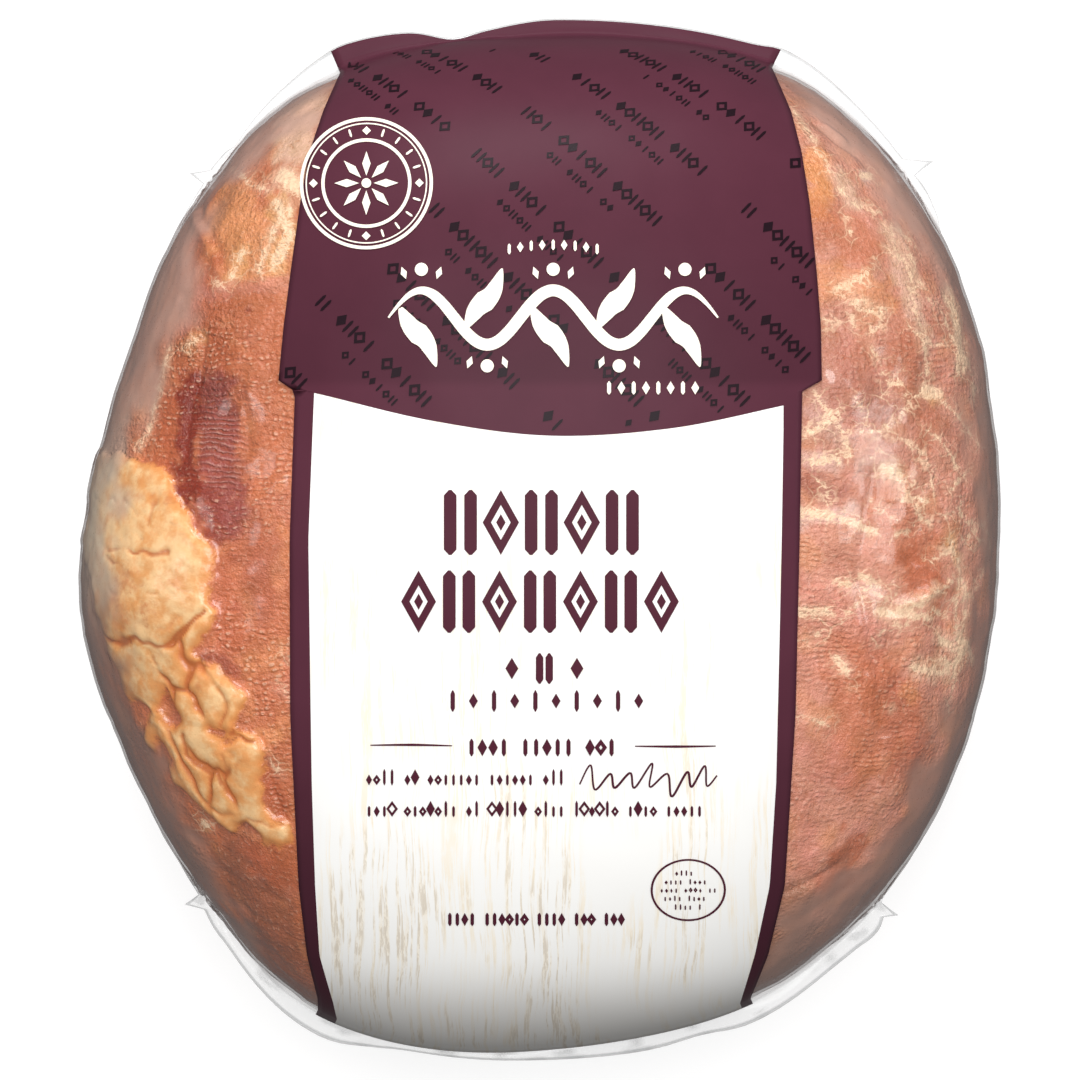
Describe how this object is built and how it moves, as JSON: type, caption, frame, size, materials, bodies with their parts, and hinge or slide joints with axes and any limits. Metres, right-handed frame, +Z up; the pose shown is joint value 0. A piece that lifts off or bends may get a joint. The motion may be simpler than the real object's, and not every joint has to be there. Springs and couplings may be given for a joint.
{
  "type": "vacuum-packed whole ham",
  "caption": "Whole boneless ham with roasted meat and a fat cap, sealed skin-tight in a clear bag with wavy end seals and a printed band, lying on its back.",
  "frame": {"origin": "under the middle of the pack, on the surface that it lies on", "axes": "+X to the right of the shown face, +Y towards the top seal, +Z up out of the shown face"},
  "size_m": [0.2118, 0.2392, 0.1259],
  "materials": {
    "ham_in_film": "roasted pink and orange ham with cream fat, seen through skin-tight clear glossy film",
    "clear_film": "clear flexible film, glossy, slightly wrinkled",
    "printed_film_front": "satin printed film, dark maroon above and pale wood grain below",
    "printed_film_back": "satin printed film, dark maroon frame round a pale panel"
  },
  "bodies": {
    "root": {"ham_in_bag": "ham_in_film", "printed_front": "printed_film_front", "printed_back": "printed_film_back"}
  },
  "joints": []
}
